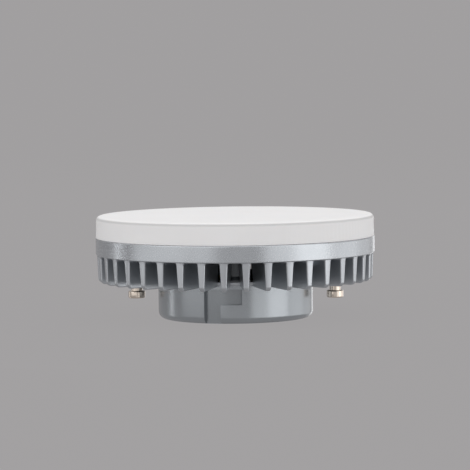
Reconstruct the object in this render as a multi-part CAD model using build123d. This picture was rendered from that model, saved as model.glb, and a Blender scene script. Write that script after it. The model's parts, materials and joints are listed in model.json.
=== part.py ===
from build123d import *
import os
from math import cos, degrees, pi, radians, sin

# LED disc lamp with a two-pin turn-and-lock cap, light face up, standing on its boss.
# Millimetres, +Z up. The origin is the centre of the boss's flat end. The two contact
# pins lie on +X and -X, and the keyed slots of the boss face -Y and +Y.

# Heights, from the boss's end upwards
boss_height = 9.8  # boss end to the fins' lower plane
fin_height = 7.35  # fins' lower plane to the underside of the ring band
ring_height = 4.4
diffuser_height = 5.75

# Heat sink, one aluminium casting
ring_radius = 37.05
ring_wall = 1.25
ring_edge = 0.3
web_thickness = 2.1
hub_wall = 1.6
hub_lift = 0.4  # hub end above the fins' lower plane
fin_count = 40
fin_setback = 0.35  # fins' outer ends inside the ring band
fin_embed = 0.4  # fins' inner ends inside the hub's outer face
fin_draft_in = 0.3  # how much further in the fins' outer ends lie at the tip
fin_corner = 1.2  # radius of the fins' lower outer corner
fin_root_outer = 2.2  # fin thickness at the web, at its outer end
fin_root_inner = 1.6  # and at its inner end
fin_tip_outer = 1.35  # fin thickness at the lower plane
fin_tip_inner = 1.0
fin_edge = 0.4  # bevel on the fins' upright outer edges
cable_hole_radius = 3.0
cable_hole_y = 7.0

# Snap fastening of the base, seen as a window in the hub between two fins
snap_width = 9.6
snap_gap = 0  # gap between fins that holds the window's middle, counted from -Y towards +X
snap_sill = 0.8  # hub wall left below the window
snap_window_height = 5.0
snap_tongue_width = 7.7
snap_hook_height = 2.4
snap_hook_land = 0.4  # upright face at the hook's tip
snap_hook_reach = 1.3
snap_slit = 0.7
snap_rib_width = 2.1
snap_rib_depth = 0.5

# Base housing: boss cup, keyed slots and the two pin arms, one moulding
boss_radius = 20.55
boss_wall = 1.7
boss_floor = 1.6
boss_corner = 1.8
boss_seam = 30.0  # where the boss's round wall begins and ends, clear of slots and arms
spigot_step = 0.4  # housing inside the hub, narrower than the boss by this
hub_clearance = 0.2
top_clearance = 0.2  # housing rim below the web
key_depth = 1.3
key_backing = 1.2
key_entry_from = -18.9  # degrees from -Y towards +X
key_entry_to = -6.4
key_pocket_to = 9.2
key_ledge = 5.0  # lower edge of the pocket above the boss's end
key_land = 0.7  # wall left between the pocket and the fins' lower plane
arm_width = 6.2
arm_lift = 0.4  # arm's underside above the fins' lower plane
arm_floor = 2.2
arm_channel = 3.6
arm_clearance = 0.2

# Contact pins
pin_pitch = 53.0
pin_head_radius = 2.25
pin_head_height = 2.0
pin_head_edge = 0.35
pin_head_level = 5.1  # lower face of the head above the boss's end
pin_neck_radius = 1.5
pin_shank_radius = 1.1
pin_rivet_radius = 1.6
pin_rivet_height = 0.6
pin_tail_width = 1.4
pin_tail_height = 1.2
pin_hole_clearance = 0.05

# Diffuser
diffuser_inset = 0.1  # diffuser's base inside the ring band's outer face
diffuser_taper = 0.15  # how much narrower its top is
diffuser_wall = 1.3
diffuser_corner = 1.0
diffuser_edge = 0.2
skirt_depth = 1.6
skirt_wall = 1.2
skirt_clearance = 0.2
bead_height = 0.8
bead_reach = 0.3

# Light source
pad_inset = 1.0  # pad's edge inside the light board's
pad_thickness = 0.4
light_board_clearance = 1.4  # light board's edge inside the diffuser's skirt
light_board_thickness = 1.2
chip_length = 3.5
chip_width = 2.8
chip_height = 0.7
chip_inset = 10.5  # outer ring of packages inside the light board's edge
chip_ring_pitch = 8.0
chip_pitch = 5.8  # least spacing of the packages round a ring
chip_margin = 2.5  # packages clear of the cable hole
screw_inset = 4.5  # screws inside the light board's edge
screw_gap = 4  # gap between fins that holds the first screw, counted from +X towards +Y
screw_count = 4
screw_radius = 1.2
screw_length = 5.0
screw_head_radius = 2.2
screw_head_height = 1.5
screw_recess_width = 0.5
screw_recess_length = 2.4
screw_recess_depth = 0.7
screw_boss_radius = 2.4
screw_boss_height = 1.8
tapped_clearance = 0.05
screw_clearance = 0.2
connector_length = 6.5
connector_width = 7.0
connector_height = 3.2
connector_gap = 1.0  # terminal's mouth behind the cable hole's edge
connector_entry_depth = 2.0
connector_edge = 0.4

# Driver compartment
rebate_depth = 0.6
cover_thickness = 1.0
cover_clearance = 0.15
cover_gap = 0.44  # cover's top below the web
cover_hole_radius = 4.2
driver_board_clearance = 0.45
driver_board_thickness = 1.6
standoff_height = 2.6
standoff_radius = 1.5
standoff_inset = 1.3  # standoffs inside the board's edge
standoff_angle = 52.0
peg_radius = 0.8
peg_rise = 0.6
peg_clearance = 0.1

# Leads
lead_radius = 0.55
input_lead_inset = 1.8  # inside the driver board's edge
output_lead_spacing = 2.6
lead_bend_share = 0.45
entry_clearance = 0.1
grommet_clearance = 0.1
grommet_wall = 0.6
grommet_flange_radius = 3.8
grommet_flange = 0.35

# Driver components. Each place is a share of the driver board's radius along X and along Y.
wire_radius = 0.3
transformer_share = -0.04  # along X alone: the output leads set its place along Y
core_clearance = 0.3  # core's end clear of the output leads
core_width, core_length, core_height = 8.4, 8.8, 4.0
core_centre_limb = 2.2
core_outer_limb = 1.1
core_yoke = 1.2
bobbin_wall = 0.4
bobbin_clearance = 0.1
bobbin_flange = 0.5
bobbin_height = 7.4
winding_clearance = 0.15
input_capacitor_place = (0.54, 0.12)
input_capacitor_radius, input_capacitor_length = 3.15, 11.5
output_capacitor_place = (-0.03, -0.455)
output_capacitor_radius, output_capacitor_length = 2.5, 8.0
can_groove = 0.35
can_edge = 0.4
film_capacitor_place = (-0.095, -0.775)
film_capacitor_length, film_capacitor_width, film_capacitor_height = 7.2, 3.2, 6.5
film_capacitor_edge = 0.4
rectifier_place = (-0.57, 0.35)
rectifier_length, rectifier_width, rectifier_height = 4.7, 3.9, 2.5
resistor_place = (0.325, -0.62)
resistor_radius, resistor_length = 1.0, 5.4
resistor_end_radius, resistor_end_length = 1.15, 1.1
choke_place = (-0.14, 0.735)
choke_radius, choke_height = 2.4, 6.0
choke_flange, choke_waist_radius = 0.9, 1.9
controller_place = (-0.64, -0.34)
controller_length, controller_width, controller_height = 4.9, 3.9, 1.4
varistor_place = (0.675, -0.475)
varistor_radius, varistor_thickness, varistor_rise = 2.2, 2.2, 1.0

# Levels worked out from the sizes above
fin_level = boss_height
ring_level = fin_level + fin_height
rim_level = ring_level + ring_height
top_level = rim_level + diffuser_height
web_level = ring_level + web_thickness
light_board_level = web_level + pad_thickness
chip_level = light_board_level + light_board_thickness
hub_level = fin_level + hub_lift
arm_level = fin_level + arm_lift
housing_top = ring_level - top_clearance
cover_level = ring_level - cover_gap - cover_thickness
driver_board_level = boss_floor + standoff_height
component_level = driver_board_level + driver_board_thickness
sill_level = hub_level + snap_sill
key_top = fin_level - key_land

# Radii worked out from the sizes above
cup_radius = boss_radius - boss_wall
spigot_radius = boss_radius - spigot_step
hub_radius = spigot_radius + hub_clearance
fin_start = hub_radius + hub_wall - fin_embed
fin_radius = ring_radius - fin_setback
rim_radius = ring_radius - ring_wall
pin_radius = pin_pitch / 2
key_floor_radius = boss_radius - key_depth
driver_board_radius = key_floor_radius - key_backing - driver_board_clearance
standoff_circle_radius = driver_board_radius - standoff_inset
input_lead_x = driver_board_radius - input_lead_inset
diffuser_base_radius = ring_radius - diffuser_inset
diffuser_top_radius = diffuser_base_radius - diffuser_taper
skirt_radius = rim_radius - skirt_clearance
skirt_level = rim_level - skirt_depth
light_board_radius = skirt_radius - skirt_wall - light_board_clearance
screw_circle_radius = light_board_radius - screw_inset

# Angles and places worked out from the sizes above
fin_pitch = 360 / fin_count
snap_angle = (snap_gap + 0.5) * fin_pitch
screw_angle = (screw_gap + 0.5) * fin_pitch
connector_mouth_y = cable_hole_y - cable_hole_radius - connector_gap
transformer_x = transformer_share * driver_board_radius
transformer_y = cable_hole_y - lead_radius - core_clearance - core_length / 2
input_capacitor_x, input_capacitor_y = (share * driver_board_radius for share in input_capacitor_place)
output_capacitor_x, output_capacitor_y = (share * driver_board_radius for share in output_capacitor_place)
film_capacitor_x, film_capacitor_y = (share * driver_board_radius for share in film_capacitor_place)
rectifier_x, rectifier_y = (share * driver_board_radius for share in rectifier_place)
resistor_x, resistor_y = (share * driver_board_radius for share in resistor_place)
choke_x, choke_y = (share * driver_board_radius for share in choke_place)
controller_x, controller_y = (share * driver_board_radius for share in controller_place)
varistor_x, varistor_y = (share * driver_board_radius for share in varistor_place)


def place(x, y, z):
    """Location at a point, with the frame's own axes."""
    return Location((x, y, z))


def disc(radius, level, thickness):
    """Round plate about Z whose underside lies at a level."""
    return place(0, 0, level) * extrude(Circle(radius), thickness)


def rod(x, y, level, radius, height):
    """Upright round bar on a given level."""
    return place(x, y, level) * extrude(Circle(radius), height)


def block(x, y, level, length, width, height):
    """Upright block centred on x and y, standing on a given level."""
    return place(x, y, level) * extrude(Rectangle(length, width), height)


def sector(inner, outer, bottom, top, start, end):
    """Part of a ring between two angles, measured from -Y towards +X."""
    section = Plane.XZ * make_face(
        Polyline((inner, bottom), (outer, bottom), (outer, top), (inner, top), close=True))
    return Rot(Z=start - 90) * revolve(section, Axis.Z, end - start)


def half_angle(width, radius):
    """Half the angle that an arc of a given width spans at a radius, in degrees."""
    return degrees(width / radius / 2)


def both_ways(shape):
    """A shape and its copy turned half a turn about Z."""
    return [shape, Rot(Z=180) * shape]


def bent_rod(points, radius):
    """Round rod along straight runs joined by arcs as large as the runs allow."""
    radii = []
    for before, corner, after in zip(points, points[1:], points[2:]):
        arriving = Vector(*corner) - Vector(*before)
        leaving = Vector(*after) - Vector(*corner)
        half_turn = radians(arriving.get_angle(leaving) / 2)
        shorter = min(arriving.length, leaving.length)
        radii.append(lead_bend_share * shorter * cos(half_turn) / sin(half_turn))
    path = FilletPolyline(*points, radius=radii)
    start = Plane(origin=path @ 0, z_dir=path % 0)
    return sweep(start * Circle(radius), path=path)


def component_wire(points):
    """Thin tinned wire along straight runs that meet in sharp bends."""
    path = Polyline(*points)
    start = Plane(origin=path @ 0, z_dir=path % 0)
    return sweep(start * Circle(wire_radius), path=path, transition=Transition.RIGHT)


def make_fin():
    """One cast fin along +X: drafted both ways, with a round lower corner."""
    def outline(level, inner_width, outer_width, outer_end):
        """Plan section of the fin at a level, with its outer edges bevelled."""
        bevel_start = outer_end - fin_edge
        return place(0, 0, level) * make_face(Polyline(
            (fin_start, -inner_width / 2), (bevel_start, -outer_width / 2),
            (outer_end, fin_edge - outer_width / 2), (outer_end, outer_width / 2 - fin_edge),
            (bevel_start, outer_width / 2), (fin_start, inner_width / 2), close=True))

    lower_end = fin_radius - fin_draft_in
    plate = loft([outline(fin_level, fin_tip_inner, fin_tip_outer, lower_end),
                  outline(ring_level, fin_root_inner, fin_root_outer, fin_radius)])
    side = Plane.XZ * make_face(Polyline(
        (0, fin_level), (lower_end, fin_level), (fin_radius, ring_level), (0, ring_level), close=True))
    lower_corner = side.vertices().sort_by(Axis.Z)[:2].sort_by(Axis.X)[-1]
    return plate & extrude(fillet(lower_corner, fin_corner), fin_root_outer, both=True)


def make_heat_sink():
    """Ring band, web, hub tube and fins, cast as one piece."""
    body = disc(ring_radius, ring_level, ring_height)
    body = chamfer(body.edges().filter_by(GeomType.CIRCLE), ring_edge)
    body -= disc(rim_radius, web_level, ring_height)
    body -= disc(rim_radius + bead_reach, skirt_level + bead_height / 2, bead_height)
    body += disc(hub_radius + hub_wall, hub_level, ring_level - hub_level)
    fin = make_fin()
    body += [Rot(Z=index * fin_pitch) * fin for index in range(fin_count)]

    screw_boss = rod(screw_circle_radius, 0, ring_level - screw_boss_height, screw_boss_radius,
                     screw_boss_height)
    tapped_hole = rod(screw_circle_radius, 0, ring_level - screw_boss_height,
                      screw_radius + tapped_clearance, screw_boss_height + web_thickness)
    turns = [Rot(Z=screw_angle + index * 360 / screw_count) for index in range(screw_count)]
    body += [turn * screw_boss for turn in turns]
    body -= disc(hub_radius, fin_level, fin_height)
    body -= [turn * tapped_hole for turn in turns]

    pocket_width = arm_width + 2 * arm_clearance
    pocket = block(pin_radius / 2, 0, fin_level, pin_radius, pocket_width, fin_height)
    pocket += rod(pin_radius, 0, fin_level, pocket_width / 2, fin_height)
    pocket -= disc(hub_radius - hub_clearance, fin_level, fin_height)
    body -= both_ways(pocket)

    half_window = half_angle(snap_width, hub_radius)
    window = sector(hub_radius - hub_clearance, hub_radius + hub_wall + hub_clearance, sill_level,
                    sill_level + snap_window_height, snap_angle - half_window, snap_angle + half_window)
    body -= both_ways(window)
    body -= rod(0, cable_hole_y, ring_level, cable_hole_radius, web_thickness)
    return body


def make_base_housing():
    """Boss cup with keyed slots, board standoffs, snap tongues and pin arms."""
    body = Rot(Z=boss_seam) * disc(boss_radius, 0, hub_level)
    body = fillet(body.edges().sort_by(Axis.Z)[0], boss_corner)
    body += disc(spigot_radius, hub_level, housing_top - hub_level)
    body -= disc(cup_radius, boss_floor, housing_top)
    body -= disc(cup_radius + rebate_depth, cover_level, housing_top)

    margin = half_angle(2 * key_backing, key_floor_radius)
    backing = sector(key_floor_radius - key_backing, cup_radius + boss_wall / 2, boss_floor / 2,
                     key_top + key_backing, key_entry_from - margin, key_pocket_to + margin)
    body += both_ways(backing)
    entry = sector(key_floor_radius, boss_radius + boss_wall, -boss_floor, key_top,
                   key_entry_from, key_entry_to)
    pocket = sector(key_floor_radius, boss_radius + boss_wall, key_ledge, key_top,
                    key_entry_from, key_pocket_to)
    body -= both_ways(entry + pocket)

    arm_height = housing_top - arm_level
    arm_start = cup_radius + boss_wall / 2
    arm = block((arm_start + pin_radius) / 2, 0, arm_level, pin_radius - arm_start, arm_width, arm_height)
    arm += rod(pin_radius, 0, arm_level, arm_width / 2, arm_height)
    body += both_ways(arm)
    channel_start = cup_radius - boss_wall
    channel = block((channel_start + pin_radius) / 2, 0, arm_level + arm_floor,
                    pin_radius - channel_start, arm_channel, arm_height)
    channel += rod(pin_radius, 0, arm_level + arm_floor, arm_channel / 2, arm_height)
    channel += rod(pin_radius, 0, arm_level, pin_shank_radius + pin_hole_clearance, arm_height)
    body -= both_ways(channel)

    half_tongue = half_angle(snap_tongue_width, spigot_radius)
    half_slit = half_angle(snap_slit, spigot_radius)
    for side in (snap_angle - half_tongue - half_slit, snap_angle + half_tongue + half_slit):
        slit = sector(cup_radius - boss_wall, boss_radius + boss_wall, hub_level, housing_top,
                      side - half_slit, side + half_slit)
        body -= both_ways(slit)
    body += both_ways(make_snap_hook(half_tongue))

    for x, y in standoff_places():
        body += rod(x, y, boss_floor / 2, standoff_radius, standoff_height + boss_floor / 2)
        body += rod(x, y, driver_board_level, peg_radius, driver_board_thickness + peg_rise)
    return body


def make_snap_hook(half_tongue):
    """Wedge and stiffening rib on the outside of one snap tongue."""
    foot = sill_level + hub_clearance / 2
    root = (cup_radius + rebate_depth + spigot_radius) / 2
    tip = spigot_radius + snap_hook_reach
    wedge = Plane.XZ * make_face(Polyline(
        (root, foot), (tip, foot), (tip, foot + snap_hook_land), (root, foot + snap_hook_height),
        close=True))
    hook = Rot(Z=snap_angle - half_tongue - 90) * revolve(wedge, Axis.Z, 2 * half_tongue)
    half_rib = half_angle(snap_rib_width, spigot_radius)
    rib = sector(root, spigot_radius + snap_rib_depth, foot,
                 sill_level + snap_window_height - hub_clearance, snap_angle - half_rib,
                 snap_angle + half_rib)
    return hook + rib


def standoff_places():
    """Centres of the four standoffs under the driver board."""
    x = standoff_circle_radius * cos(radians(standoff_angle))
    y = standoff_circle_radius * sin(radians(standoff_angle))
    return [(x, y), (-x, y), (-x, -y), (x, -y)]


def make_pin():
    """Mushroom contact pin on +X, riveted through its arm, with a square tail."""
    neck_level = pin_head_level + pin_head_height
    channel_level = arm_level + arm_floor
    head = rod(pin_radius, 0, pin_head_level, pin_head_radius, pin_head_height)
    pin = chamfer(head.edges().filter_by(GeomType.CIRCLE), pin_head_edge)
    pin += rod(pin_radius, 0, neck_level, pin_neck_radius, arm_level - neck_level)
    pin += rod(pin_radius, 0, arm_level, pin_shank_radius, arm_floor)
    pin += rod(pin_radius, 0, channel_level, pin_rivet_radius, pin_rivet_height)
    pin += block(pin_radius, 0, channel_level + pin_rivet_height, pin_tail_width, pin_tail_width,
                 pin_tail_height)
    return pin


def make_diffuser():
    """Frosted cap with a rounded upper corner and a beaded skirt that snaps into the rim."""
    outline = Polyline(
        (0, top_level), (diffuser_top_radius, top_level), (diffuser_base_radius, rim_level),
        (skirt_radius, rim_level), (skirt_radius, skirt_level), (skirt_radius - skirt_wall, skirt_level),
        (diffuser_top_radius - diffuser_wall, top_level - diffuser_wall),
        (0, top_level - diffuser_wall), close=True)
    section = Plane.XZ * make_face(outline)
    section = fillet(section.vertices().sort_by(Axis.X)[-2], diffuser_corner)
    section = chamfer(section.vertices().sort_by(Axis.X)[-1], diffuser_edge)
    cap = revolve(section, Axis.Z)
    bead_root = skirt_radius - skirt_wall / 2
    bead_level = skirt_level + bead_height
    bead = Plane.XZ * make_face(Polyline(
        (bead_root, bead_level - bead_height / 4), (skirt_radius, bead_level - bead_height / 4),
        (skirt_radius + bead_reach, bead_level), (skirt_radius, bead_level + bead_height / 4),
        (bead_root, bead_level + bead_height / 4), close=True))
    return cap + revolve(bead, Axis.Z)


def screw_places():
    """Centres of the screws that hold the light board down."""
    angles = [radians(screw_angle + index * 360 / screw_count) for index in range(screw_count)]
    return [(screw_circle_radius * cos(angle), screw_circle_radius * sin(angle)) for angle in angles]


def make_light_plate(radius, level, thickness):
    """Round plate with the screw holes and the cable hole of the light source."""
    plate = disc(radius, level, thickness)
    plate -= [rod(x, y, level, screw_radius + screw_clearance, thickness) for x, y in screw_places()]
    return plate - rod(0, cable_hole_y, level, cable_hole_radius, thickness)


def chip_rings():
    """Pitch radius and count of each ring of packages, from the outside in."""
    rings = []
    radius = light_board_radius - chip_inset
    while radius - chip_width / 2 - chip_margin > cable_hole_y + cable_hole_radius:
        rings.append((radius, int(2 * pi * radius / chip_pitch)))
        radius -= chip_ring_pitch
    return rings


def make_led_packages():
    """Light-emitting packages in rings on the light board, long side round the ring."""
    package = block(0, 0, chip_level, chip_width, chip_length, chip_height)
    return [Rot(Z=(index + 0.5) * 360 / count) * (place(radius, 0, 0) * package)
            for radius, count in chip_rings() for index in range(count)]


def make_board_screws():
    """Pan-head screws with a cross recess, one at each screw place."""
    screw = rod(0, 0, chip_level, screw_head_radius, screw_head_height)
    screw = chamfer(screw.edges().sort_by(Axis.Z)[-1], screw_head_height / 2)
    screw += rod(0, 0, chip_level - screw_length, screw_radius, screw_length)
    arm = block(0, 0, chip_level + screw_head_height - screw_recess_depth, screw_recess_length,
                screw_recess_width, screw_recess_depth)
    screw -= [arm, Rot(Z=90) * arm]
    return [place(x, y, 0) * screw for x, y in screw_places()]


def make_board_connector():
    """Push-in terminal on the light board, with an entry for each output lead."""
    body = block(0, connector_mouth_y - connector_length / 2, chip_level, connector_width, connector_length,
                 connector_height)
    top_edges = body.faces().sort_by(Axis.Z)[-1].edges()
    body = chamfer(top_edges, connector_edge)
    for side in (-1, 1):
        mouth = (side * output_lead_spacing / 2, connector_mouth_y, output_lead_level())
        entry = extrude(Plane(origin=mouth,
                              z_dir=(0, -1, 0)) * Circle(lead_radius + entry_clearance),
                        connector_entry_depth)
        body -= entry
    return body


def output_lead_level():
    """Height of the output leads where they enter the terminal."""
    return chip_level + connector_height / 2


def make_output_lead(side):
    """Lead from the driver board up through the grommet and over into the terminal."""
    x = side * output_lead_spacing / 2
    end_y = connector_mouth_y - connector_entry_depth
    return bent_rod([(x, cable_hole_y, component_level), (x, cable_hole_y, output_lead_level()),
                     (x, end_y, output_lead_level())], lead_radius)


def make_input_lead():
    """Lead on the +X side from the pin's tail along the arm and down to the driver board."""
    level = arm_level + arm_floor + pin_rivet_height + pin_tail_height / 2
    return bent_rod([(pin_radius - pin_tail_width / 2, 0, level), (input_lead_x, 0, level),
                     (input_lead_x, 0, component_level)], lead_radius)


def make_lead_grommet():
    """Bush that lines the cable hole of the web, with a flange under it."""
    outer = cable_hole_radius - grommet_clearance
    bush = rod(0, cable_hole_y, ring_level, outer, chip_level - ring_level)
    bush += rod(0, cable_hole_y, ring_level - grommet_flange, grommet_flange_radius, grommet_flange)
    return bush - rod(0, cable_hole_y, ring_level - grommet_flange, outer - grommet_wall,
                      chip_level - ring_level + grommet_flange)


def make_driver_cover():
    """Insulating disc that closes the driver compartment under the web."""
    cover = disc(cup_radius + rebate_depth - cover_clearance, cover_level, cover_thickness)
    return cover - rod(0, cable_hole_y, cover_level, cover_hole_radius, cover_thickness)


def make_driver_board():
    """Round circuit board held by four staked pegs."""
    board = disc(driver_board_radius, driver_board_level, driver_board_thickness)
    return board - [rod(x, y, driver_board_level, peg_radius + peg_clearance, driver_board_thickness)
                    for x, y in standoff_places()]


def transformer_centre():
    """Location of the transformer's own axes: its winding runs along Y."""
    return place(transformer_x, transformer_y, component_level + bobbin_height / 2)


def bar(length, width, height):
    """Block centred on the origin."""
    return Box(length, width, height)


def make_transformer_core():
    """Ferrite frame with a centre limb."""
    window_width = (core_width - core_centre_limb) / 2 - core_outer_limb
    window = bar(window_width, core_length - 2 * core_yoke, core_height)
    offset = core_centre_limb / 2 + window_width / 2
    core = bar(core_width, core_length, core_height)
    return transformer_centre() * (core - [place(offset, 0, 0) * window, place(-offset, 0, 0) * window])


def bobbin_sizes():
    """Length between the bobbin's ends, and its tube's outer width and height."""
    length = core_length - 2 * core_yoke - 2 * bobbin_clearance
    width = core_centre_limb + 2 * (bobbin_clearance + bobbin_wall)
    height = core_height + 2 * (bobbin_clearance + bobbin_wall)
    return length, width, height


def flange_width():
    """Width of the bobbin's flanges, which pass between the core's outer limbs."""
    return core_width - 2 * core_outer_limb - 2 * bobbin_clearance


def make_transformer_bobbin():
    """Tube round the centre limb with two flanges that stand on the board."""
    length, width, height = bobbin_sizes()
    flange = bar(flange_width(), bobbin_flange, bobbin_height)
    offset = (length - bobbin_flange) / 2
    bobbin = bar(width, length, height) + [place(0, offset, 0) * flange, place(0, -offset, 0) * flange]
    tunnel = bar(width - 2 * bobbin_wall, length, height - 2 * bobbin_wall)
    return transformer_centre() * (bobbin - tunnel)


def make_transformer_winding():
    """Wound copper and tape between the bobbin's flanges."""
    length, width, height = bobbin_sizes()
    wound = length - 2 * bobbin_flange - 2 * winding_clearance
    outer = bar(flange_width() - 2 * winding_clearance, wound, bobbin_height - 4 * winding_clearance)
    outer = fillet(outer.edges().filter_by(Axis.Y), core_outer_limb)
    return transformer_centre() * (outer - bar(width, wound, height))


def make_can(radius, length):
    """Electrolytic capacitor can along Z from the origin, with its crimped groove."""
    groove_level = radius / 2
    outline = Polyline(
        (0, 0), (radius - can_edge, 0), (radius, can_edge), (radius, groove_level - can_groove),
        (radius - can_groove, groove_level), (radius, groove_level + can_groove),
        (radius, length - can_edge), (radius - can_edge, length), (0, length), close=True)
    return revolve(Plane.XZ * make_face(outline), Axis.Z)


def make_input_capacitor():
    """Capacitor lying along Y on the board, its two wires bent down into it."""
    axis_level = component_level + input_capacitor_radius
    mouth_y = input_capacitor_y + input_capacitor_length / 2
    lie = place(input_capacitor_x, mouth_y, axis_level) * Rot(X=90)
    part = lie * make_can(input_capacitor_radius, input_capacitor_length)
    spread = input_capacitor_radius / 2
    reach = 2 * wire_radius + input_capacitor_radius / 4
    for side in (-1, 1):
        x = input_capacitor_x + side * spread
        part += component_wire([(x, mouth_y - can_edge, axis_level), (x, mouth_y + reach, axis_level),
                                (x, mouth_y + reach, component_level)])
    return part


def make_output_capacitor():
    """Capacitor standing on the board."""
    return place(output_capacitor_x, output_capacitor_y, component_level) * make_can(
        output_capacitor_radius, output_capacitor_length)


def make_film_capacitor():
    """Boxed film capacitor standing on the board."""
    box = block(film_capacitor_x, film_capacitor_y, component_level, film_capacitor_length,
                film_capacitor_width, film_capacitor_height)
    return chamfer(box.faces().sort_by(Axis.Z)[-1].edges(), film_capacitor_edge)


def make_bridge_rectifier():
    """Flat rectifier package with four feet."""
    foot_width = rectifier_length / 8
    body = block(rectifier_x, rectifier_y, component_level + foot_width / 2, rectifier_length,
                 rectifier_width, rectifier_height)
    body = chamfer(body.faces().sort_by(Axis.Z)[-1].edges(), foot_width / 2)
    for side in (-1, 1):
        body += block(rectifier_x + side * rectifier_length / 4, rectifier_y, component_level, foot_width,
                      rectifier_width + 2 * foot_width, foot_width)
    return body


def make_fuse_resistor():
    """Axial fusible resistor with bevelled end caps, its wires bent down to the board."""
    level = component_level + resistor_end_radius + wire_radius
    half = resistor_length / 2
    along = Location((resistor_x, resistor_y - half, level)) * Rot(X=-90)
    part = along * extrude(Circle(resistor_radius), resistor_length)
    cap = extrude(Circle(resistor_end_radius), resistor_end_length)
    cap = chamfer(cap.edges().filter_by(GeomType.CIRCLE), resistor_end_radius - resistor_radius)
    part += [along * cap, along * (place(0, 0, resistor_length - resistor_end_length) * cap)]
    for side in (-1, 1):
        bend_y = resistor_y + side * (half + resistor_end_length)
        part += component_wire([(resistor_x, resistor_y + side * (half - can_edge), level),
                                (resistor_x, bend_y, level), (resistor_x, bend_y, component_level)])
    return part


def make_filter_choke():
    """Drum-core choke standing on the board, wound at its waist."""
    drum = rod(choke_x, choke_y, component_level, choke_radius, choke_flange)
    drum += rod(choke_x, choke_y, component_level + choke_flange, choke_waist_radius,
                choke_height - 2 * choke_flange)
    return drum + rod(choke_x, choke_y, component_level + choke_height - choke_flange, choke_radius,
                      choke_flange)


def make_driver_chip():
    """Eight-legged controller package, its legs down on the board."""
    leg_width = controller_length / 12
    standing = leg_width / 2
    body = block(controller_x, controller_y, component_level + standing, controller_length,
                 controller_width, controller_height)
    body = chamfer(body.faces().sort_by(Axis.Z)[-1].edges(), standing)
    for index in range(4):
        x = controller_x + (index - 1.5) * controller_length / 4
        body += block(x, controller_y, component_level, leg_width, controller_width + 4 * leg_width,
                      leg_width)
    return body


def make_varistor():
    """Disc varistor standing on its two wires, flat side to the middle."""
    centre = component_level + varistor_rise + varistor_radius
    body = place(varistor_x - varistor_thickness / 2, varistor_y, centre) * (
        Rot(Y=90) * extrude(Circle(varistor_radius), varistor_thickness))
    body = chamfer(body.edges().filter_by(GeomType.CIRCLE), varistor_thickness / 3)
    for side in (-1, 1):
        body += rod(varistor_x, varistor_y + side * varistor_radius / 2, component_level, wire_radius,
                    varistor_rise + varistor_radius / 2)
    return body


def turned_half(shape):
    """The same piece on the other side of the lamp."""
    return Rot(Z=180) * shape


pin = make_pin()
input_lead = make_input_lead()
nodes = {
    "diffuser": make_diffuser(),
    "heat_sink": make_heat_sink(),
    "base_housing": make_base_housing(),
    "pin_right": pin,
    "pin_left": turned_half(pin),
    "thermal_pad": make_light_plate(light_board_radius - pad_inset, web_level, pad_thickness),
    "led_board": make_light_plate(light_board_radius, light_board_level, light_board_thickness),
    "led_packages": make_led_packages(),
    "board_screws": make_board_screws(),
    "board_connector": make_board_connector(),
    "lead_grommet": make_lead_grommet(),
    "driver_cover": make_driver_cover(),
    "driver_board": make_driver_board(),
    "transformer_core": make_transformer_core(),
    "transformer_bobbin": make_transformer_bobbin(),
    "transformer_winding": make_transformer_winding(),
    "input_capacitor": make_input_capacitor(),
    "output_capacitor": make_output_capacitor(),
    "film_capacitor": make_film_capacitor(),
    "bridge_rectifier": make_bridge_rectifier(),
    "fuse_resistor": make_fuse_resistor(),
    "filter_choke": make_filter_choke(),
    "driver_chip": make_driver_chip(),
    "varistor": make_varistor(),
    "input_lead_right": input_lead,
    "input_lead_left": turned_half(input_lead),
    "output_lead_positive": make_output_lead(1),
    "output_lead_negative": make_output_lead(-1),
}

os.makedirs("parts", exist_ok=True)
for name, shape in nodes.items():
    solids = shape if isinstance(shape, list) else [shape]
    pieces = [solid for item in solids for solid in item.solids()]
    whole = pieces[0] if len(pieces) == 1 else Compound(children=pieces)
    export_step(whole, f"parts/{name}.step")
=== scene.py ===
import json
import logging
from dataclasses import dataclass, replace
from enum import Enum
from math import cos, pi, radians, sin, tau
from typing import Callable, Iterable, Union

import bpy
from mathutils import Matrix, Vector


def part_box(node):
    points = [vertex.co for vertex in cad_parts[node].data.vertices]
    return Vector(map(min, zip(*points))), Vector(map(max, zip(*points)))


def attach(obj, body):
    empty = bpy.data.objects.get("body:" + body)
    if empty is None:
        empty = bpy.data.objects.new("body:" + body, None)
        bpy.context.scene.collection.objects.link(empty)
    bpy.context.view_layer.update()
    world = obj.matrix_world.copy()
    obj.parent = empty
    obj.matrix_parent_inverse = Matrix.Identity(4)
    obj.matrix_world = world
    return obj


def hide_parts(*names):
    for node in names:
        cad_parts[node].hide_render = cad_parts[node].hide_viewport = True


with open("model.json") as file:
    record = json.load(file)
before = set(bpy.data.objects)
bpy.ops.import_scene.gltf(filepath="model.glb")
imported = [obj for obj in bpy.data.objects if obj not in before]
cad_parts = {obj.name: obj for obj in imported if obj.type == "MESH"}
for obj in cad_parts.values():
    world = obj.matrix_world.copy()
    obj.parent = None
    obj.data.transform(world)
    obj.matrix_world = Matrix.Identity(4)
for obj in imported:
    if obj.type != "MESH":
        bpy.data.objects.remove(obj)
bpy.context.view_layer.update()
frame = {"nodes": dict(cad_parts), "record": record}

# Looks of the disc lamp, in metres: opal cap, finned die-cast body, moulded base and two pins.
# Angles about the lamp's axis count from -Y towards +X, as seen from the front.

log = logging.getLogger("disc_lamp")

MM = 0.001
TINY = 0.01 * MM
ROUND = 480  # steps of a full turn on the large diameters
STEP_ANGLE = 1.5  # degrees of each step of a short arc
FLAT_FACE_WEIGHT = 100  # the most that a large face can count
SIDES = (0, pi)  # a feature's turn about the axis: where it is made, and opposite
WHITE = (1, 1, 1)
BLACK = (0, 0, 0)

Piece = bpy.types.Object
Socket = bpy.types.NodeSocket
Colour = tuple[float, float, float]
Feeds = dict[Union[str, int], Union[Socket, float, tuple[float, ...]]]


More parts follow.
